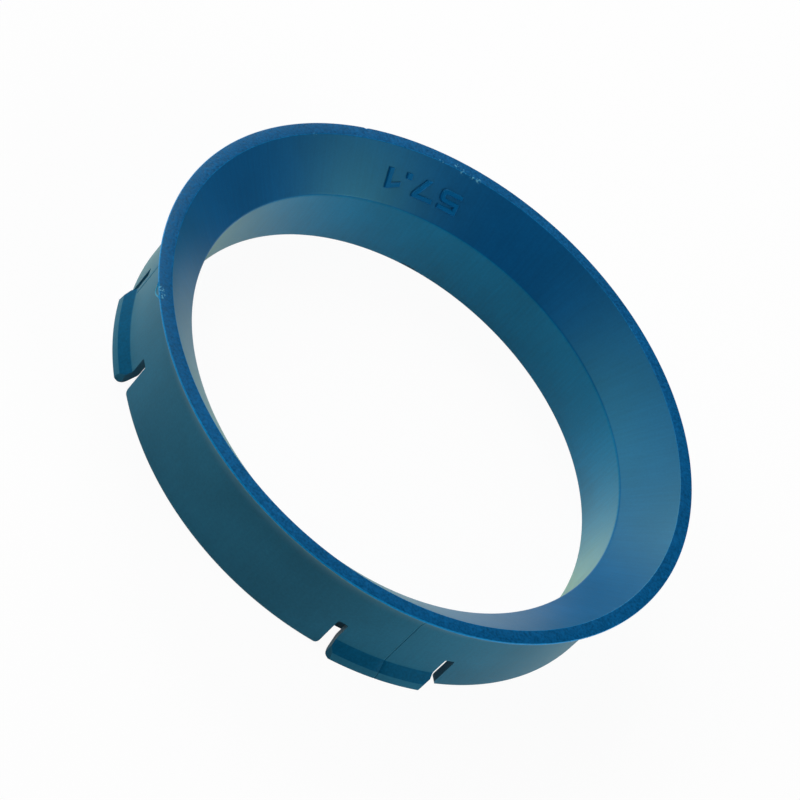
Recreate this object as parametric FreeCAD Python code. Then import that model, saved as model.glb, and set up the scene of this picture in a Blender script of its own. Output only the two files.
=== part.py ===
import FreeCAD, Part
import math
import os

# Hub centric ring, moulded in one piece. It snaps into the centre bore of a wheel and narrows
# it to the hub's spigot. Sizes are in millimetres. The ring lies on its back edge: its axis is
# +Z, the origin is the centre of the back plane and the wide rim is on top. One of the snap
# tabs faces -Y.

# Fit: the seat goes into the wheel, the hub's spigot into the bore, which comes to 57.1 across
seat_diameter = 66.6
seat_to_bore = 4.75
overall_height = 13.25

# Wide rim, the end of a conical wall that also forms the lead-in of the bore
rim_overhang = 2.05
rim_face_width = 1.65
rim_edge_height = 0.25
cone_angle = 45.0

# Walls beside the hollow, as shares of the way from the seat to the bore. The hollow is open to
# the back.
bore_wall_share = 0.23
seat_wall_share = 0.2

# Snap tabs, each cut free of the seat wall by a slot on either side. The two side tabs stand a
# little nearer to the tab at -Y than a quarter turn.
side_tab_turn = 1.2
tab_width = 12.2
slot_width = 1.25
slot_depth = 5.1

# Barb on the outside of a tab, from its ramp down to its nose at the back plane
barb_reach = 1.1
barb_ramp_top = 2.4
barb_ramp_foot = 1.1
barb_ramp_draft = 0.2
barb_nose_height = 0.15
barb_nose_depth = 0.15

# Slant of a barb's two ends, from a little outside the seat
barb_end_start = 0.45
barb_end_angle = 50.0

# Bevel on the inside of a tab's end, which leaves a narrow foot on the back plane
tab_bevel_height = 2.0
tab_foot_height = 0.6
tab_foot_inset = 0.15
tab_foot_width = 0.5

# Edges. The smallest are chamfers, and those of a wall are shares of it.
bore_front_round = 0.6
rim_under_round = 3.2
rim_chamfer = 0.08
seat_back_share = 0.5
wall_back_share = 0.16
hollow_root_share = 0.2
barb_root_round = 0.3
wall_corner_round = 1.0
tab_corner_round = 0.4
slot_root_round = 0.2

# Least length of an edge, and how far a cutter runs past what it cuts
shortest_edge = 0.000001
cutter_margin = 1.0

seat_radius = seat_diameter / 2
bore_radius = seat_radius - seat_to_bore
rim_radius = seat_radius + rim_overhang
rim_inner_radius = rim_radius - rim_face_width
cone_slope = math.tan(math.radians(cone_angle))
bore_length = overall_height - (rim_inner_radius - bore_radius) * cone_slope
bore_wall = seat_to_bore * bore_wall_share
seat_wall = seat_to_bore * seat_wall_share
hollow_inner_radius = bore_radius + bore_wall
hollow_outer_radius = seat_radius - seat_wall
hollow_middle_radius = (hollow_inner_radius + hollow_outer_radius) / 2
hollow_root_chamfer = (hollow_outer_radius - hollow_inner_radius) * hollow_root_share
barb_radius = seat_radius + barb_reach

origin = FreeCAD.Vector(0, 0, 0)
axis = FreeCAD.Vector(0, 0, 1)


def cone_under_height(radius):
    """Height of the conical wall's underside, which runs parallel to the lead-in cone."""
    return overall_height - rim_edge_height - (rim_radius - radius) * cone_slope


def chord_angle(width):
    """Angle in degrees that a width takes up at the seat."""
    return 2 * math.degrees(math.asin(width / 2 / seat_radius))


def sharp(across, height):
    return across, height, 0, 0


def rounded(across, height, radius):
    return across, height, radius, 0


def chamfered(across, height, leg):
    return across, height, 0, leg


def outline_face(corners, place):
    """Face with sharp, rounded and chamfered corners. place turns (across, height) into a point."""
    count = len(corners)
    points = [place(across, height) for across, height, _, _ in corners]
    starts = []
    ends = []
    edges = []
    for index in range(count):
        here = points[index]
        back = (points[index - 1] - here).normalize()
        ahead = (points[(index + 1) % count] - here).normalize()
        radius, leg = corners[index][2:]
        half_corner = back.getAngle(ahead) / 2
        run = leg + radius / math.tan(half_corner)
        start = here + back * run
        end = here + ahead * run
        if radius > 0:
            inward = (back + ahead).normalize()
            middle = here + inward * (radius / math.sin(half_corner) - radius)
            edges.append(Part.Arc(start, middle, end).toShape())
        elif leg > 0:
            edges.append(Part.LineSegment(start, end).toShape())
        starts.append(start)
        ends.append(end)
    for index in range(count):
        start = ends[index]
        end = starts[(index + 1) % count]
        if start.distanceToPoint(end) > shortest_edge:
            edges.append(Part.LineSegment(start, end).toShape())
    return Part.Face(Part.Wire(Part.__sortEdges__(edges)))


def turned(corners, angle=360.0):
    """Solid made by turning a section about the axis, evenly to both sides of +X."""
    section = outline_face(corners, lambda radius, height: FreeCAD.Vector(radius, 0, height))
    section.rotate(origin, axis, -angle / 2)
    return section.revolve(origin, axis, angle)


def plain_ring():
    """The ring before its tabs are cut: bore wall, conical wall with the rim, and seat wall."""
    return turned([
        chamfered(bore_radius, 0, bore_wall * wall_back_share),
        chamfered(hollow_inner_radius, 0, bore_wall * wall_back_share),
        sharp(hollow_inner_radius, cone_under_height(hollow_inner_radius)),
        chamfered(hollow_outer_radius, cone_under_height(hollow_outer_radius), hollow_root_chamfer),
        chamfered(hollow_outer_radius, 0, seat_wall * wall_back_share),
        rounded(seat_radius, 0, seat_wall * seat_back_share),
        rounded(seat_radius, cone_under_height(seat_radius), rim_under_round),
        sharp(rim_radius, cone_under_height(rim_radius)),
        chamfered(rim_radius, overall_height, rim_chamfer),
        chamfered(rim_inner_radius, overall_height, rim_chamfer),
        rounded(bore_radius, bore_length, bore_front_round),
    ])


def barb(angle):
    """Barb along the outside of a tab, rooted halfway into the seat wall."""
    root_radius = seat_radius - seat_wall / 2
    return turned([
        sharp(root_radius, 0),
        sharp(barb_radius - barb_nose_depth, 0),
        sharp(barb_radius, barb_nose_height),
        sharp(barb_radius - barb_ramp_draft, barb_ramp_foot),
        rounded(seat_radius, barb_ramp_top, barb_root_round),
        sharp(seat_radius, slot_depth),
        sharp(root_radius, slot_depth),
    ], angle)


def bevel_cutter(angle):
    """What is cut from the inside of a tab's end, so that the tab can bend inwards."""
    foot_radius = barb_radius - barb_nose_depth - tab_foot_width
    return turned([
        sharp(hollow_middle_radius, -cutter_margin),
        sharp(foot_radius, -cutter_margin),
        sharp(foot_radius, 0),
        sharp(seat_radius - tab_foot_inset, tab_foot_height),
        sharp(hollow_outer_radius, tab_bevel_height),
        sharp(hollow_middle_radius, tab_bevel_height),
    ], angle)


def slot_cutter(tab_side):
    """Slot across +X, its mouth widened to leave round corners. tab_side is +1 for a tab at +Y."""
    half = slot_width / 2
    face = outline_face([
        rounded(-half, slot_depth, slot_root_round),
        rounded(half, slot_depth, slot_root_round),
        rounded(half, 0, tab_corner_round),
        sharp(half + tab_corner_round, 0),
        sharp(half + tab_corner_round, -cutter_margin),
        sharp(-half - wall_corner_round, -cutter_margin),
        sharp(-half - wall_corner_round, 0),
        rounded(-half, 0, wall_corner_round),
    ], lambda across, height: FreeCAD.Vector(hollow_middle_radius, across * tab_side, height))
    reach = barb_radius + cutter_margin - hollow_middle_radius
    return face.extrude(FreeCAD.Vector(reach, 0, 0))


def barb_end_cutter(tab_side):
    """What slants the barb's end beside a slot across +X. tab_side is +1 for a tab at +Y."""
    start_radius = seat_radius + barb_end_start
    end_radius = barb_radius + cutter_margin
    half = slot_width / 2
    slant = (end_radius - start_radius) * math.tan(math.radians(barb_end_angle))
    face = outline_face([
        sharp(start_radius, 0),
        sharp(end_radius, 0),
        sharp(end_radius, half + slant),
        sharp(start_radius, half),
    ], lambda out, across: FreeCAD.Vector(out, across * tab_side, -cutter_margin))
    return face.extrude(FreeCAD.Vector(0, 0, cutter_margin + barb_ramp_top))


def at_angle(shape, angle):
    copy = shape.copy()
    copy.rotate(origin, axis, angle)
    return copy


def build():
    tab_angles = [-90, -side_tab_turn, 90, 180 + side_tab_turn]
    reach_angle = chord_angle(tab_width + slot_width)
    slot_offset = reach_angle / 2
    barbs = [at_angle(barb(reach_angle), angle) for angle in tab_angles]
    cutters = []
    for angle in tab_angles:
        cutters.append(at_angle(bevel_cutter(reach_angle), angle))
        for tab_side in (1, -1):
            cutters.append(at_angle(slot_cutter(tab_side), angle - tab_side * slot_offset))
            cutters.append(at_angle(barb_end_cutter(tab_side), angle - tab_side * slot_offset))
    ring = plain_ring().fuse(barbs).cut(cutters).removeSplitter()
    return ring.Solids[0] if ring.ShapeType != "Solid" else ring


ring = build()
os.makedirs("parts", exist_ok=True)
ring.exportStep("parts/hub_centric_ring.step")
print("valid", ring.isValid(), "volume", round(ring.Volume, 1), "faces", len(ring.Faces))
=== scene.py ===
import math

import bmesh
import bpy
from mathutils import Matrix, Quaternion, Vector


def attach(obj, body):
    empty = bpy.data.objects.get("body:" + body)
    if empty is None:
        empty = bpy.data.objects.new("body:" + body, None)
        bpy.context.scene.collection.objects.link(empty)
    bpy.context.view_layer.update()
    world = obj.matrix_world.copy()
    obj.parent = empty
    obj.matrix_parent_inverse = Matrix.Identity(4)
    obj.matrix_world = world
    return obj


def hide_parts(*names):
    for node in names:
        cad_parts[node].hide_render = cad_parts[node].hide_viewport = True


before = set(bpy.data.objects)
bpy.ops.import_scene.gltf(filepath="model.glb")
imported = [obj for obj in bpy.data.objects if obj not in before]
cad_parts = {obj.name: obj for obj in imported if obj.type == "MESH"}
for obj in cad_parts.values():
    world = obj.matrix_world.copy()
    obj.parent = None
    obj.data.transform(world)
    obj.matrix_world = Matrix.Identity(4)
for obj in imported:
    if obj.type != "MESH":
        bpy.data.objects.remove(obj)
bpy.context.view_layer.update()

# A hub centric ring of blue plastic, lying on its back edge on a pale floor. The axis of the
# ring is +Z and the wide rim is on top. The sizes are the real ones, in millimetres, and
# everything is built in metres.

MM = 0.001

# Fit
bore_radius = 28.55 * MM
seat_radius = 33.3 * MM
ring_height = 13.25 * MM

# Rim and conical wall, whose two faces both stand at 45 degrees
rim_overhang = 2.05 * MM
rim_face_width = 1.65 * MM
rim_edge_height = 0.25 * MM

# Walls beside the hollow at the back
bore_wall_share = 0.23
seat_wall_share = 0.2

# Snap tabs and the slots beside them. The two side tabs stand a little nearer to the tab at -Y
# than a quarter turn.
side_tab_turn = math.radians(1.2)
tab_width = 12.2 * MM
slot_width = 1.25 * MM
slot_depth = 5.1 * MM

# Barb on a tab, whose two ends are slanted, and the bevel on the inside of the tab's end
barb_reach = 1.1 * MM
barb_ramp_top = 2.4 * MM
barb_ramp_foot = 1.1 * MM
barb_ramp_draft = 0.2 * MM
barb_nose_height = 0.15 * MM
barb_nose_depth = 0.15 * MM
barb_end_start = 0.45 * MM
barb_end_slope = math.tan(math.radians(50))
tab_bevel_height = 2.0 * MM
tab_foot_height = 0.6 * MM
tab_foot_inset = 0.15 * MM
tab_foot_width = 0.5 * MM

# Round corners at the mouth and the root of a slot
wall_corner_round = 1.0 * MM
tab_corner_round = 0.4 * MM
slot_root_round = 0.2 * MM

# Rounds of the section, each as how far before its corner it starts
bore_front_round = 0.28 * MM
bore_wall_back_round = 0.18 * MM
hollow_inner_root_round = 0.3 * MM
hollow_outer_root_round = 0.5 * MM
seat_wall_inner_round = 0.15 * MM
seat_wall_outer_round = 0.475 * MM
rim_under_round = 1.33 * MM
rim_under_edge = 0.04 * MM
rim_outer_edge = 0.09 * MM
rim_inner_edge = 0.07 * MM
bevel_top_round = 0.3 * MM
bevel_foot_round = 0.15 * MM
foot_inner_round = 0.08 * MM
foot_outer_round = 0.03 * MM
barb_nose_round = 0.06 * MM
barb_ramp_foot_round = 0.12 * MM
barb_root_round = 0.25 * MM

# Points that the plain wall has for a tab's nose, and their distance on a straight run
wall_nose_height = 0.7 * MM
wall_point_distance = 0.1 * MM

# Columns of faces round the ring, and the angle up to which two faces are shaded as one
columns = 600
column_angle = math.tau / columns
smooth_angle = math.radians(28)

# How far a cutter runs past what it cuts, the height at which the slots' mouths end, and how near
# to each other two places count as one
cutter_margin = 1.0 * MM
mouth_height = -0.01 * MM
merge_distance = 0.0005 * MM
place_tolerance = 0.002 * MM

# Lines of the mould down the outside: the seam on the tab at -Y, and a fine line on the tab at
# -X from its ramp up
line_reach = 0.3 * MM
line_narrowing = 0.25
seam_column = 0
seam_depth = 0.05 * MM
tab_line_column = 437
tab_line_foot = 2.6 * MM
tab_line_depth = 0.1 * MM

# Figures raised on the cone, drawn with their feet on this line, measured up the cone from the
# bore's edge. They are rooted in the cone, and their upper edges are bevelled.
figure_foot_line = 4.6 * MM
figure_height = 0.25 * MM
figure_root = 0.3 * MM
figure_bevel = 0.13 * MM

# Wear and moulding flaws: a nick in the rim's outer edge, and a hoop of flash under the lip
nick_column = 327
nick_reach = 0.25 * MM
nick_depth = 0.12 * MM
flash_start = math.radians(184.9)
flash_turn = math.radians(3.8)
flash_steps = 12
flash_bulge = 0.16 * MM
flash_drop = 0.5 * MM
flash_radius = 0.07 * MM

# Spots as x, y, z and radius in millimetres: pale scuffs along the rim, and painted shade of a
# small dent at the back edge of the bore
scuffs = (
    (0.7, 33.8, 13.25, 0.35), (2.9, 34.2, 13.25, 0.4), (3.8, 33.6, 13.25, 0.5),
    (5.1, 33.4, 13.25, 0.4), (6.0, 33.2, 13.25, 0.45), (-16.7, 29.2, 13.25, 0.3),
    (8.0, -32.3, 13.25, 0.4), (-34.9, -4.0, 13.25, 0.5), (-34.7, -4.8, 13.25, 0.5),
)
dent_shade_spots = ((3.4, 28.35, 0.15, 0.35), (4.0, 28.27, 0.1, 0.45), (4.6, 28.2, 0.1, 0.4))
scuff_grain = 0.3 * MM
scuff_detail = 4
scuff_colour = (0.12, 0.42, 0.60)
dent_shade_colour = (0.001, 0.08, 0.17)

# Finish of the plastic: size and fineness of its clouds and of its grain, and how far the
# clouds vary in tone
cloud_size = 9 * MM
cloud_detail = 3
cloud_share = 0.08
grain_size = 0.28 * MM
grain_detail = 2
sheen_roughness = 0.35

# Flow streaks that run from the bore up the cone to the rim
streak_width = 0.35 * MM
streak_length = 6 * MM
streak_detail = 2

# Part of each noise's range that is stretched to the whole
cloud_range = (0.35, 0.65)
streak_range = (0.35, 0.65)
grain_range = (0.3, 0.7)
scuff_range = (0.5, 0.6)

# Depth of the grain as a bump, and how far it varies the tone and the roughness
smooth_grain = {"grain_depth": 0.004 * MM, "grain_share": 0.06}
fine_grain = {"grain_depth": 0.01 * MM, "grain_share": 0.15}
coarse_grain = {"grain_depth": 0.03 * MM, "grain_share": 0.30}
no_sheen = {"sheen": 0.0, "sheen_colour": (1.0, 1.0, 1.0)}

# Finish of each surface. The lip's lighter colour is a painted highlight, and the ramp's darker
# colour is painted shade. Gloss and sheen have colours of their own. The back and the hollow have
# the finish of the skirt, and the round between bore and cone has that of the figures.
finishes = {
    "skirt": {
        "colour": (0.017, 0.136, 0.226), "gloss": 0.06, "gloss_colour": (0.65, 1.0, 0.9),
        "roughness": 0.45, "sheen": 0.25, "sheen_colour": (0.6, 0.8, 0.38),
        "streak_share": 0.02, **smooth_grain,
    },
    "rim": {
        "colour": (0.001, 0.095, 0.262), "gloss": 0.24, "gloss_colour": (0.1, 0.7, 1.0),
        "roughness": 0.45, "streak_share": 0.02, **no_sheen, **coarse_grain,
    },
    "cone": {
        "colour": (0.001, 0.088, 0.258), "gloss": 0.50, "gloss_colour": (0.25, 1.0, 0.80),
        "roughness": 0.42, "sheen": 0.15, "sheen_colour": (0.3, 1.0, 0.05),
        "streak_share": 0.05, **smooth_grain,
    },
    "bore": {
        "colour": (0.001, 0.185, 0.360), "gloss": 0.16, "gloss_colour": (0.75, 1.0, 0.4),
        "roughness": 0.40, "sheen": 0.80, "sheen_colour": (0.70, 0.9, 0.30),
        "streak_share": 0.05, **smooth_grain,
    },
    # The lip's lighter colour is a painted highlight along the edges of the rim
    "lip": {
        "colour": (0.004, 0.240, 0.560), "gloss": 0.15, "gloss_colour": (0.3, 0.9, 1.0),
        "roughness": 0.40, "streak_share": 0.02, **no_sheen, **fine_grain,
    },
    "figure": {
        "colour": (0.001, 0.120, 0.320), "gloss": 0.15, "gloss_colour": (0.2, 1.0, 1.0),
        "roughness": 0.40, "streak_share": 0.02, **no_sheen, **smooth_grain,
    },
    "flash": {
        "colour": (0.020, 0.380, 0.600), "gloss": 0.30, "gloss_colour": (1.0, 1.0, 1.0),
        "roughness": 0.30, "streak_share": 0.02, **no_sheen, **smooth_grain,
    },
    # The ramp's darker colour is painted shade, for a face that looks up, away from the light
    "ramp": {
        "colour": (0.002, 0.085, 0.180), "gloss": 0.05, "gloss_colour": (0.3, 1.0, 1.0),
        "roughness": 0.50, "streak_share": 0.02, **no_sheen, **fine_grain,
    },
}

# How near to a surface, and how nearly along its normal, a face lies to have its finish
level_normal = 0.98
inward_normal = 0.9
bore_band = 0.1 * MM
cone_band = 0.02 * MM
front_round_band = 0.5 * MM
ramp_gap = 0.01 * MM
flash_gap = 0.05 * MM
flash_band = 1.0 * MM

# Floor, and the share of it that looks plain white from the camera
floor_size = 4.0
floor_height = -0.02 * MM
floor_tone = 0.95
floor_roughness = 0.6
floor_white_share = 0.95

# Soft square lamps round the ring, as azimuth, elevation and power, and the light from all round
lamp_distance = 0.6
lamp_size = 0.3
lamps = {
    "back_lamp": (95, 35, 1.8),
    "back_low_lamp": (120, 15, 0.65),
    "left_back_lamp": (150, 25, 1.05),
    "left_lamp": (178, 42, 0.7),
    "right_low_lamp": (323, 12, 1.55),
    "right_high_lamp": (323, 32, 0.8),
}
light_all_round = 0.04

# Camera, in the place it had for the photograph
camera_aim = (-0.874 * MM, 0.116 * MM, 6.625 * MM)
camera_azimuth = math.radians(-31.366)
camera_elevation = math.radians(41.151)
camera_roll = math.radians(43.335)
camera_distance = 333.28 * MM
camera_lens = 130.688
camera_sensor = 36.0
camera_clip_start = 10 * MM
camera_clip_end = 20.0

rim_radius = seat_radius + rim_overhang
rim_inner_radius = rim_radius - rim_face_width
bore_length = ring_height - (rim_inner_radius - bore_radius)
wall_gap = seat_radius - bore_radius
hollow_inner_radius = bore_radius + wall_gap * bore_wall_share
hollow_outer_radius = seat_radius - wall_gap * seat_wall_share
hollow_middle_radius = (hollow_inner_radius + hollow_outer_radius) / 2
barb_radius = seat_radius + barb_reach
slot_angle = math.asin((tab_width + slot_width) / 2 / seat_radius)
tab_angles = (-math.pi / 2, -side_tab_turn, math.pi / 2, math.pi + side_tab_turn)


def deselect_all():
    if bpy.context.object is not None and bpy.context.object.mode != "OBJECT":
        bpy.ops.object.mode_set(mode="OBJECT")
    bpy.ops.object.select_all(action="DESELECT")


def make_active(piece):
    deselect_all()
    piece.select_set(True)
    bpy.context.view_layer.objects.active = piece


def cone_under_height(radius):
    """Height of the conical wall's underside."""
    return ring_height - rim_edge_height - (rim_radius - radius)


def round_corners(corners):
    """Points of a closed outline. A corner is (across, height, setback, steps): its round starts
    the setback before it and has that many steps. A setback on a straight run only adds points."""
    points = []
    count = len(corners)
    for index, (across, height, setback, steps) in enumerate(corners):
        here = Vector((across, height))
        back = (Vector(corners[index - 1][:2]) - here).normalized()
        ahead = (Vector(corners[(index + 1) % count][:2]) - here).normalized()
        if steps == 0:
            points.append(here)
            continue
        start = here + back * setback
        end = here + ahead * setback
        weight = math.sin(back.angle(ahead) / 2)
        for step in range(steps + 1):
            along = step / steps
            shares = ((1 - along) ** 2, 2 * weight * along * (1 - along), along**2)
            points.append((start * shares[0] + here * shares[1] + end * shares[2]) / sum(shares))
    return points


def ring_section(at_tab):
    """Outline of the ring's section, as (radius, height). The wall's and the tab's outlines have
    the same number of points, so that one can be turned into the other."""
    if at_tab:
        foot_radius = barb_radius - barb_nose_depth
        wall_end = [
            (hollow_outer_radius, tab_bevel_height, bevel_top_round, 2),
            (seat_radius - tab_foot_inset, tab_foot_height, bevel_foot_round, 3),
            (foot_radius - tab_foot_width, 0, foot_inner_round, 3),
            (foot_radius, 0, foot_outer_round, 6),
            (barb_radius, barb_nose_height, barb_nose_round, 4),
            (barb_radius - barb_ramp_draft, barb_ramp_foot, barb_ramp_foot_round, 4),
            (seat_radius, barb_ramp_top, barb_root_round, 4),
        ]
    else:
        wall_end = [
            (hollow_outer_radius, tab_bevel_height, bevel_top_round, 2),
            (hollow_outer_radius, tab_foot_height, wall_point_distance, 3),
            (hollow_outer_radius, 0, seat_wall_inner_round, 3),
            (seat_radius, 0, seat_wall_outer_round, 6),
            (seat_radius, wall_nose_height, barb_nose_round, 4),
            (seat_radius, barb_ramp_foot, wall_point_distance, 4),
            (seat_radius, barb_ramp_top, wall_point_distance, 4),
        ]
    return round_corners([
        (bore_radius, 0, bore_wall_back_round, 4),
        (hollow_inner_radius, 0, bore_wall_back_round, 4),
        (hollow_inner_radius, cone_under_height(hollow_inner_radius), hollow_inner_root_round, 4),
        (hollow_outer_radius, cone_under_height(hollow_outer_radius), hollow_outer_root_round, 4),
        *wall_end,
        (seat_radius, cone_under_height(seat_radius), rim_under_round, 10),
        (rim_radius, cone_under_height(rim_radius), rim_under_edge, 2),
        (rim_radius, ring_height, rim_outer_edge, 4),
        (rim_inner_radius, ring_height, rim_inner_edge, 4),
        (bore_radius, bore_length, bore_front_round, 6),
    ])


def select_where(mesh, test):
    """Selects just the vertices whose place passes the test, in edit mode."""
    bpy.ops.mesh.select_mode(type="VERT")
    bpy.ops.mesh.select_all(action="DESELECT")
    edit = bmesh.from_edit_mesh(mesh)
    for vertex in edit.verts:
        if test(vertex.co):
            vertex.select_set(True)
    edit.select_flush(True)
    bmesh.update_edit_mesh(mesh)


def draw_line(name, places):
    """New piece holding a line of edges: one point extruded from place to place. It is left in
    edit mode."""
    deselect_all()
    bpy.ops.mesh.primitive_plane_add(size=MM, location=(0, 0, 0))
    piece = bpy.context.object
    piece.name = name
    bpy.ops.object.mode_set(mode="EDIT")
    bpy.ops.mesh.merge(type="CENTER")
    bpy.ops.transform.translate(value=places[0])
    for before, after in zip(places, places[1:]):
        bpy.ops.mesh.extrude_region_move(TRANSFORM_OT_translate={"value": after - before})
    return piece


def draw_outline(name, points, place):
    """New piece holding a closed outline. place turns a point of it into its place. The piece is
    left in edit mode with the outline selected."""
    places = [Vector(place(*point)) for point in points]
    piece = draw_line(name, places)
    ends = (places[0], places[-1])
    select_where(piece.data, lambda at: any((at - end).length < merge_distance for end in ends))
    bpy.ops.mesh.edge_face_add()
    bpy.ops.mesh.select_all(action="SELECT")
    return piece


def turn_selected(angle):
    """Turns what is selected in edit mode about the axis, counterclockwise from above."""
    bpy.ops.transform.rotate(value=-angle, orient_axis="Z", center_override=(0, 0, 0))


def copy_round(turns):
    """Copies all of the mesh being edited, to the given turns from where it is."""
    bpy.ops.mesh.select_all(action="SELECT")
    for turn, before in zip(turns, (0, *turns)):
        bpy.ops.mesh.duplicate()
        turn_selected(turn - before)


def close_mesh():
    """Merges what touches and turns every face outwards."""
    bpy.ops.mesh.select_all(action="SELECT")
    bpy.ops.mesh.remove_doubles(threshold=merge_distance)
    bpy.ops.mesh.normals_make_consistent(inside=False)
    bpy.ops.object.mode_set(mode="OBJECT")


def on_tab(at):
    """Whether a place is at a tab, or at the near half of a slot beside it."""
    angle = math.atan2(at.y, at.x)
    return any(abs(math.remainder(angle - tab, math.tau)) < slot_angle for tab in tab_angles)


def shape_tabs(ring):
    """Moves the end of the seat wall into the form of a barbed tab wherever a tab stands."""
    for wall, tab in zip(ring_section(False), ring_section(True)):
        if (wall - tab).length < merge_distance:
            continue
        select_where(ring.data, lambda at: (
            abs(at.z - wall.y) < place_tolerance
            and abs(math.hypot(at.x, at.y) - wall.x) < place_tolerance
            and on_tab(at)
        ))
        grow = tab.x / wall.x
        bpy.ops.transform.resize(value=(grow, grow, 1), center_override=(0, 0, 0))
        bpy.ops.transform.translate(value=(0, 0, tab.y - wall.y))


def column_direction(column):
    """Outward direction of a column of faces' edges, counted from -Y."""
    turn = column * column_angle - math.pi / 2
    return Vector((math.cos(turn), math.sin(turn), 0))


def in_column(at, column):
    outward = column_direction(column)
    return at.dot(outward) > 0 and abs(at.x * outward.y - at.y * outward.x) < place_tolerance


def press_line(ring, column, foot, depth):
    """Presses a narrow line into the outside of the ring, from its foot upwards."""
    def outside(at):
        radius = math.hypot(at.x, at.y)
        low_enough = at.z < cone_under_height(radius) + place_tolerance
        return radius > seat_radius - line_reach and at.z > foot and low_enough

    for side in (1, -1):
        select_where(ring.data, lambda at: outside(at) and in_column(at, column + side))
        turn_selected(-side * column_angle * (1 - line_narrowing))
    select_where(ring.data, lambda at: outside(at) and in_column(at, column))
    bpy.ops.transform.translate(value=-column_direction(column) * depth)


def nick_rim(ring):
    """Dents the rim's outer edge a little at one place."""
    outward = column_direction(nick_column)
    middle = outward * rim_radius + Vector((0, 0, ring_height))
    select_where(ring.data, lambda at: (at - middle).length < nick_reach)
    bpy.ops.transform.translate(value=(-outward - Vector((0, 0, 1))) * nick_depth / 2)


def add_flash(ring):
    """Joins a thin hoop of flash to the outside of the lip, where it hangs below the edge."""
    places = []
    for step in range(flash_steps + 1):
        share = step / flash_steps
        turn = flash_start + flash_turn * share
        swing = math.sin(math.pi * share)
        radius = rim_radius - flash_radius / 2 + flash_bulge * swing
        height = ring_height - 2 * flash_radius - flash_drop * swing**2
        places.append(Vector((radius * math.cos(turn), radius * math.sin(turn), height)))
    flash = draw_line("flash", places)
    bpy.ops.object.mode_set(mode="OBJECT")
    bpy.ops.object.convert(target="CURVE")
    flash.data.bevel_depth = flash_radius
    flash.data.use_fill_caps = True
    bpy.ops.object.convert(target="MESH")
    bpy.ops.object.mode_set(mode="EDIT")
    close_mesh()
    apply_boolean(ring, flash, "UNION")


def draw_cutters(name, corners, place, reach):
    """Cutters at every tab, from one outline on either side of the -Y tab. place and reach take
    the side's outward and along directions, of which along points to the tab."""
    sides = []
    for tab_side in (1, -1):
        turn = tab_angles[0] - tab_side * slot_angle
        outward = Vector((math.cos(turn), math.sin(turn), 0))
        along = Vector((-outward.y, outward.x, 0)) * tab_side
        side = draw_outline(
            name, corners, lambda first, second: place(outward, along, first, second)
        )
        bpy.ops.mesh.edge_face_add()
        bpy.ops.mesh.extrude_region_move(TRANSFORM_OT_translate={"value": reach(outward)})
        bpy.ops.object.mode_set(mode="OBJECT")
        sides.append(side)
    make_active(sides[0])
    sides[1].select_set(True)
    bpy.ops.object.join()
    bpy.ops.object.mode_set(mode="EDIT")
    copy_round([angle - tab_angles[0] for angle in tab_angles[1:]])
    close_mesh()
    return sides[0]


def slot_cutters():
    """Cutters for the slots. Their mouths widen round the corners."""
    half = slot_width / 2
    corners = round_corners([
        (-half, slot_depth, slot_root_round, 4),
        (half, slot_depth, slot_root_round, 4),
        (half, mouth_height, tab_corner_round, 8),
        (half + tab_corner_round + cutter_margin, mouth_height, 0, 0),
        (half + tab_corner_round + cutter_margin, -cutter_margin, 0, 0),
        (-half - wall_corner_round - cutter_margin, -cutter_margin, 0, 0),
        (-half - wall_corner_round - cutter_margin, mouth_height, 0, 0),
        (-half, mouth_height, wall_corner_round, 10),
    ])
    return draw_cutters(
        "slots",
        corners,
        lambda outward, along, across, height: (
            outward * hollow_middle_radius + along * across + Vector((0, 0, height))
        ),
        lambda outward: outward * (barb_radius + cutter_margin - hollow_middle_radius),
    )


def barb_end_cutters():
    """Cutters for the slanted ends of the barbs."""
    half = slot_width / 2
    start_radius = seat_radius + barb_end_start
    end_radius = barb_radius + cutter_margin
    corners = [
        (start_radius - half / barb_end_slope, 0),
        (end_radius, 0),
        (end_radius, half + (end_radius - start_radius) * barb_end_slope),
    ]
    return draw_cutters(
        "barb_ends",
        corners,
        lambda outward, along, out, across: (
            outward * out + along * across - Vector((0, 0, cutter_margin))
        ),
        lambda outward: Vector((0, 0, cutter_margin + barb_ramp_top)),
    )


def figure_outlines():
    """Outlines of the figures 5, 7, the point and 1, in millimetres, each with the angle of its
    middle round the ring and its width. A corner is as in round_corners."""
    five = [
        (0.0, 0.0, 0, 0), (2.75, 0.0, 0.6, 5), (2.75, 1.7, 0.6, 5), (0.65, 1.7, 0, 0),
        (0.65, 2.05, 0, 0), (2.65, 2.05, 0, 0), (2.65, 2.65, 0, 0), (0.05, 2.65, 0, 0),
        (0.05, 1.1, 0, 0), (2.15, 1.1, 0.2, 3), (2.15, 0.6, 0.2, 3), (0.0, 0.6, 0, 0),
    ]
    seven = [
        (0.7, 0.0, 0, 0), (1.45, 0.0, 0, 0), (2.85, 2.1, 0, 0), (2.85, 2.65, 0, 0),
        (0.0, 2.65, 0, 0), (0.0, 2.05, 0, 0), (2.0, 2.05, 0, 0),
    ]
    point = [(0.0, 0.0, 0.15, 3), (0.8, 0.0, 0.15, 3), (0.8, 0.8, 0.15, 3), (0.0, 0.8, 0.15, 3)]
    one = [
        (1.3, 0.0, 0, 0), (2.0, 0.0, 0, 0), (2.0, 2.6, 0, 0), (1.6, 2.6, 0, 0),
        (0.0, 2.0, 0, 0), (0.0, 1.4, 0, 0), (1.3, 1.8, 0, 0),
    ]
    return ((five, 83.4, 2.75), (seven, 90.0, 2.85), (point, 94.45, 0.8), (one, 98.0, 2.0))


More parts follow.
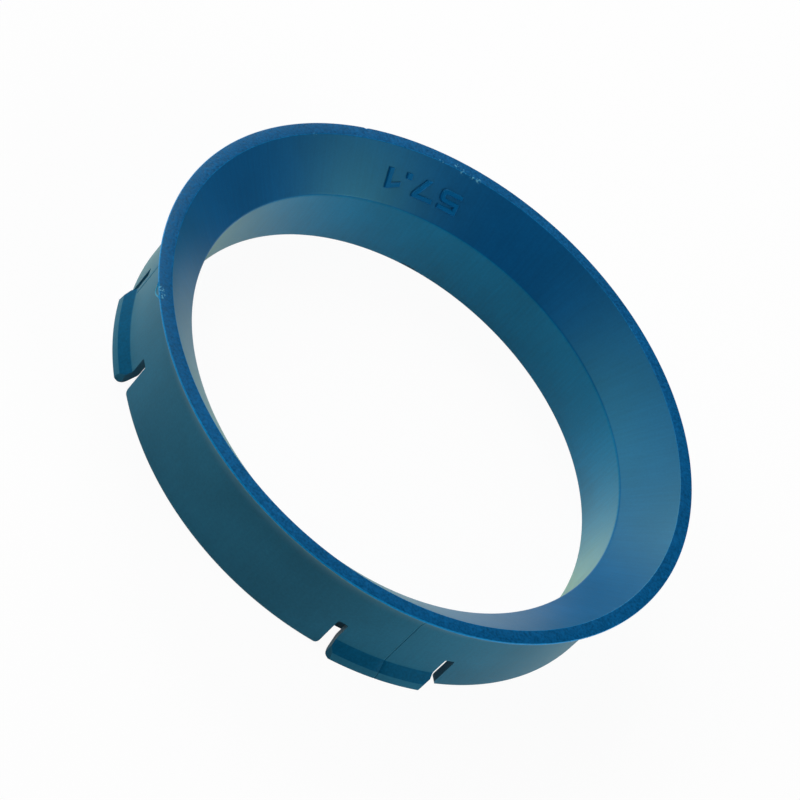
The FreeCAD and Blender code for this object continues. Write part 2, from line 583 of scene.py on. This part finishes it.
def raised_figures():
    """Solids for the figures on the cone, upside down as seen from the camera."""
    figures = []
    up = Vector((0, 0, 1))
    for corners, middle, width in figure_outlines():
        turn = math.radians(middle)
        outward = Vector((math.cos(turn), math.sin(turn), 0))
        along = Vector((-outward.y, outward.x, 0))
        up_cone = (outward + up).normalized()
        off_cone = (up - outward).normalized()
        edge = outward * bore_radius + up * bore_length - off_cone * figure_root

        def place(across, height):
            from_middle = along * (across - width / 2) * MM
            return edge + from_middle + up_cone * (figure_foot_line - height * MM)

        figure = draw_outline("figure", round_corners(corners), place)
        bpy.ops.mesh.edge_face_add()
        bpy.ops.mesh.extrude_region_move(
            TRANSFORM_OT_translate={"value": off_cone * (figure_root + figure_height)}
        )
        bpy.ops.mesh.bevel(offset=figure_bevel)
        close_mesh()
        figures.append(figure)
    make_active(figures[0])
    for figure in figures[1:]:
        figure.select_set(True)
    bpy.ops.object.join()
    return figures[0]


def apply_boolean(piece, other, operation):
    """Cuts the other solid out of the piece, or joins it to it, and removes the other solid."""
    make_active(piece)
    change = piece.modifiers.new("change", "BOOLEAN")
    change.operation = operation
    change.solver = "EXACT"
    change.object = other
    bpy.ops.object.modifier_apply(modifier=change.name)
    bpy.data.objects.remove(other)


def build_ring():
    """Spins the section from -Y to +Y, shapes the tabs in it and mirrors it to the other side.
    Then presses in the lines and the nick, cuts the slots, and joins on the figures and the
    flash."""
    ring = draw_outline(
        "hub_centric_ring_look", ring_section(False), lambda radius, height: (0, -radius, height)
    )
    bpy.ops.mesh.spin(steps=columns // 2, angle=math.pi, center=(0, 0, 0), axis=(0, 0, -1))
    bpy.ops.mesh.select_all(action="SELECT")
    bpy.ops.mesh.remove_doubles(threshold=merge_distance)
    shape_tabs(ring)
    bpy.ops.object.mode_set(mode="OBJECT")
    mirror = ring.modifiers.new("other_side", "MIRROR")
    mirror.merge_threshold = merge_distance
    bpy.ops.object.modifier_apply(modifier=mirror.name)
    bpy.ops.object.mode_set(mode="EDIT")
    press_line(ring, seam_column, -cutter_margin, seam_depth)
    press_line(ring, tab_line_column, tab_line_foot, tab_line_depth)
    nick_rim(ring)
    close_mesh()
    for cutter in (slot_cutters, barb_end_cutters):
        apply_boolean(ring, cutter(), "DIFFERENCE")
    apply_boolean(ring, raised_figures(), "UNION")
    add_flash(ring)
    return ring


def make_nodes(name):
    """New material, with its nodes, its links and its shader."""
    material = bpy.data.materials.new(name)
    material.use_nodes = True
    tree = material.node_tree
    return material, tree.nodes, tree.links, tree.nodes["Principled BSDF"]


def add_noise(nodes, links, place, size, detail):
    """Noise with features of about the given size."""
    noise = nodes.new("ShaderNodeTexNoise")
    noise.inputs["Scale"].default_value = 1 / size
    noise.inputs["Detail"].default_value = detail
    links.new(place, noise.inputs["Vector"])
    return noise.outputs["Fac"]


def add_range(nodes, links, value, low, high, new_low, new_high):
    """Value stretched from one range to another, and held within it."""
    stretch = nodes.new("ShaderNodeMapRange")
    for socket, number in (
        ("From Min", low), ("From Max", high), ("To Min", new_low), ("To Max", new_high)
    ):
        stretch.inputs[socket].default_value = number
    links.new(value, stretch.inputs["Value"])
    return stretch.outputs["Result"]


def feed(links, socket, source):
    """Links a socket to its source, or sets it to the source where that is a number or colour."""
    if isinstance(source, bpy.types.NodeSocket):
        links.new(source, socket)
    else:
        socket.default_value = source


def add_math(nodes, links, operation, first, second):
    """Result of a sum on two numbers or sockets."""
    math_node = nodes.new("ShaderNodeMath")
    math_node.operation = operation
    feed(links, math_node.inputs[0], first)
    feed(links, math_node.inputs[1], second)
    return math_node.outputs[0]


def add_mix(nodes, links, blend, share, first, second):
    """Mix of two colours. The share and the colours are numbers or sockets. On this node the
    sockets for colours are inputs 6 and 7 and output 2."""
    mix = nodes.new("ShaderNodeMix")
    mix.data_type = "RGBA"
    mix.blend_type = blend
    for number, source in ((0, share), (6, first), (7, second)):
        feed(links, mix.inputs[number], source)
    return mix.outputs[2]


def add_spots(nodes, links, place, spots):
    """One inside any of the spots, fading to nothing at their edges."""
    inside = None
    for *middle, radius in spots:
        gap = nodes.new("ShaderNodeVectorMath")
        gap.operation = "DISTANCE"
        links.new(place, gap.inputs[0])
        gap.inputs[1].default_value = [number * MM for number in middle]
        spot = add_range(nodes, links, gap.outputs["Value"], radius * MM / 2, radius * MM, 1, 0)
        inside = spot if inside is None else add_math(nodes, links, "MAXIMUM", inside, spot)
    return inside


def add_streaks(nodes, links, place):
    """Noise stretched along the ring's height, fine from one side to the other."""
    parts = nodes.new("ShaderNodeSeparateXYZ")
    links.new(place, parts.inputs["Vector"])
    around = add_math(nodes, links, "ARCTAN2", parts.outputs["Y"], parts.outputs["X"])
    join = nodes.new("ShaderNodeCombineXYZ")
    for source, axis, scale in (
        (around, "X", bore_radius / streak_width), (parts.outputs["Z"], "Z", 1 / streak_length)
    ):
        links.new(add_math(nodes, links, "MULTIPLY", source, scale), join.inputs[axis])
    return add_noise(nodes, links, join.outputs["Vector"], 1, streak_detail)


def cloudy_colour(nodes, links, place, colour):
    """The colour in a darker and a lighter tone, mixed in clouds."""
    clouds = add_noise(nodes, links, place, cloud_size, cloud_detail)
    cloud = add_range(nodes, links, clouds, *cloud_range, 0, 1)
    dark = [channel * (1 - cloud_share) for channel in colour]
    light = [channel * (1 + cloud_share) for channel in colour]
    return add_mix(nodes, links, "MIX", cloud, (*dark, 1), (*light, 1))


def scuffed_and_dent_shaded_colour(nodes, links, place, colour):
    """The colour with the pale scuffs over it, and painted shade of a small dent at the bore's
    back edge.
    """
    scratches = add_noise(nodes, links, place, scuff_grain, scuff_detail)
    scratch = add_range(nodes, links, scratches, *scuff_range, 0, 1)
    scuffed = add_math(nodes, links, "MULTIPLY", add_spots(nodes, links, place, scuffs), scratch)
    scuffed_colour = add_mix(nodes, links, "MIX", scuffed, colour, (*scuff_colour, 1))
    # Painted shade of a small dent at the bore's back edge
    dent_shade = add_spots(nodes, links, place, dent_shade_spots)
    return add_mix(nodes, links, "MIX", dent_shade, scuffed_colour, (*dent_shade_colour, 1))


def moulded_plastic(name, finish):
    """Blue plastic as it leaves the mould: cloudy where it flowed, with a fine grain."""
    material, nodes, links, shader = make_nodes(name)
    place = nodes.new("ShaderNodeTexCoord").outputs["Object"]
    grain = add_noise(nodes, links, place, grain_size, grain_detail)
    flow = add_streaks(nodes, links, place)
    colour = cloudy_colour(nodes, links, place, finish["colour"])
    for noise, noise_range, share in (
        (grain, grain_range, finish["grain_share"]), (flow, streak_range, finish["streak_share"])
    ):
        strength = add_range(nodes, links, noise, *noise_range, 1 - share, 1 + share)
        tone = nodes.new("ShaderNodeCombineColor")
        for channel in ("Red", "Green", "Blue"):
            links.new(strength, tone.inputs[channel])
        colour = add_mix(nodes, links, "MULTIPLY", 1.0, colour, tone.outputs["Color"])
    links.new(scuffed_and_dent_shaded_colour(nodes, links, place, colour), shader.inputs["Base Color"])
    smoothest = finish["roughness"] * (1 - finish["grain_share"])
    roughest = finish["roughness"] * (1 + finish["grain_share"])
    uneven = add_range(nodes, links, grain, *grain_range, smoothest, roughest)
    links.new(uneven, shader.inputs["Roughness"])
    bump = nodes.new("ShaderNodeBump")
    bump.inputs["Strength"].default_value = 1.0
    bump.inputs["Distance"].default_value = finish["grain_depth"]
    links.new(grain, bump.inputs["Height"])
    links.new(bump.outputs["Normal"], shader.inputs["Normal"])
    shader.inputs["Specular IOR Level"].default_value = finish["gloss"]
    shader.inputs["Specular Tint"].default_value = (*finish["gloss_colour"], 1)
    shader.inputs["Sheen Weight"].default_value = finish["sheen"]
    shader.inputs["Sheen Roughness"].default_value = sheen_roughness
    shader.inputs["Sheen Tint"].default_value = (*finish["sheen_colour"], 1)
    return material


def floor_finish():
    """Pale floor that looks white and keeps a little of the ring's shadow."""
    material, nodes, links, shader = make_nodes("pale_floor")
    shader.inputs["Base Color"].default_value = (floor_tone, floor_tone, floor_tone, 1)
    shader.inputs["Roughness"].default_value = floor_roughness
    shader.inputs["Specular IOR Level"].default_value = 0
    white = nodes.new("ShaderNodeEmission")
    white.inputs["Strength"].default_value = 1.0
    ray = nodes.new("ShaderNodeLightPath")
    seen = ray.outputs["Is Camera Ray"]
    for kind in ("Is Glossy Ray", "Is Transmission Ray"):
        seen = add_math(nodes, links, "ADD", seen, ray.outputs[kind])
    mix = nodes.new("ShaderNodeMixShader")
    links.new(add_range(nodes, links, seen, 0, 1, 0, floor_white_share), mix.inputs["Fac"])
    links.new(shader.outputs["BSDF"], mix.inputs[1])
    links.new(white.outputs["Emission"], mix.inputs[2])
    links.new(mix.outputs["Shader"], nodes["Material Output"].inputs["Surface"])
    return material


def add_floor():
    deselect_all()
    bpy.ops.mesh.primitive_plane_add(size=floor_size, location=(0, 0, floor_height))
    floor = bpy.context.object
    floor.name = "floor"
    floor.data.materials.append(floor_finish())


def surface_of(face):
    """Name of the surface that a face belongs to, found by its place and its normal."""
    radius = math.hypot(face.center.x, face.center.y)
    height = face.center.z
    inward = -(face.normal.x * face.center.x + face.normal.y * face.center.y) / radius
    over_cone = height - radius - (bore_length - bore_radius)
    if height > ring_height - flash_band and height < cone_under_height(radius) - flash_gap:
        return "flash"
    if height > ring_height - rim_edge_height and radius > rim_inner_radius - place_tolerance:
        return "rim" if face.normal.z > level_normal else "lip"
    if inward > inward_normal and radius < bore_radius + bore_band:
        return "bore"
    if over_cone > cone_band:
        return "figure"
    if over_cone > -cone_band:
        return "cone"
    if over_cone > -front_round_band:
        return "figure"
    if radius > seat_radius + ramp_gap and barb_ramp_foot < height < barb_ramp_top:
        return "ramp"
    return "skirt"


def finish_ring(ring):
    """Gives each surface of the ring its own finish."""
    for name, finish in finishes.items():
        ring.data.materials.append(moulded_plastic(name + "_plastic", finish))
    surfaces = list(finishes)
    for face in ring.data.polygons:
        face.material_index = surfaces.index(surface_of(face))


def add_lamp(name, azimuth, elevation, power):
    """Soft square lamp that faces the ring."""
    turn = math.radians(azimuth)
    rise = math.radians(elevation)
    level = Vector((math.cos(turn), math.sin(turn), 0)) * math.cos(rise)
    out = level + Vector((0, 0, math.sin(rise)))
    bpy.ops.object.light_add(type="AREA", location=out * lamp_distance)
    lamp = bpy.context.object
    lamp.name = name
    lamp.data.shape = "SQUARE"
    lamp.data.size = lamp_size
    lamp.data.energy = power
    lamp.rotation_mode = "QUATERNION"
    lamp.rotation_quaternion = (-out).to_track_quat("-Z", "Y")


def add_camera():
    back = Vector((
        math.sin(camera_azimuth) * math.cos(camera_elevation),
        -math.cos(camera_azimuth) * math.cos(camera_elevation),
        math.sin(camera_elevation),
    ))
    bpy.ops.object.camera_add(location=Vector(camera_aim) + back * camera_distance)
    camera = bpy.context.object
    camera.name = "camera"
    camera.rotation_mode = "QUATERNION"
    roll = Quaternion((0, 0, 1), camera_roll)
    camera.rotation_quaternion = (-back).to_track_quat("-Z", "Y") @ roll
    camera.data.sensor_width = camera_sensor
    camera.data.lens = camera_lens
    camera.data.clip_start = camera_clip_start
    camera.data.clip_end = camera_clip_end
    bpy.context.scene.camera = camera


def add_light_all_round():
    world = bpy.data.worlds.new("studio")
    bpy.context.scene.world = world
    world.use_nodes = True
    background = world.node_tree.nodes["Background"]
    background.inputs["Color"].default_value = (1, 1, 1, 1)
    background.inputs["Strength"].default_value = light_all_round


ring = build_ring()
make_active(ring)
bpy.ops.object.shade_smooth_by_angle(angle=smooth_angle)
finish_ring(ring)
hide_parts("hub_centric_ring")
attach(ring, "root")

add_floor()
add_camera()
add_light_all_round()
for name, (azimuth, elevation, power) in lamps.items():
    add_lamp(name, azimuth, elevation, power)
bpy.context.scene.view_settings.view_transform = "Standard"
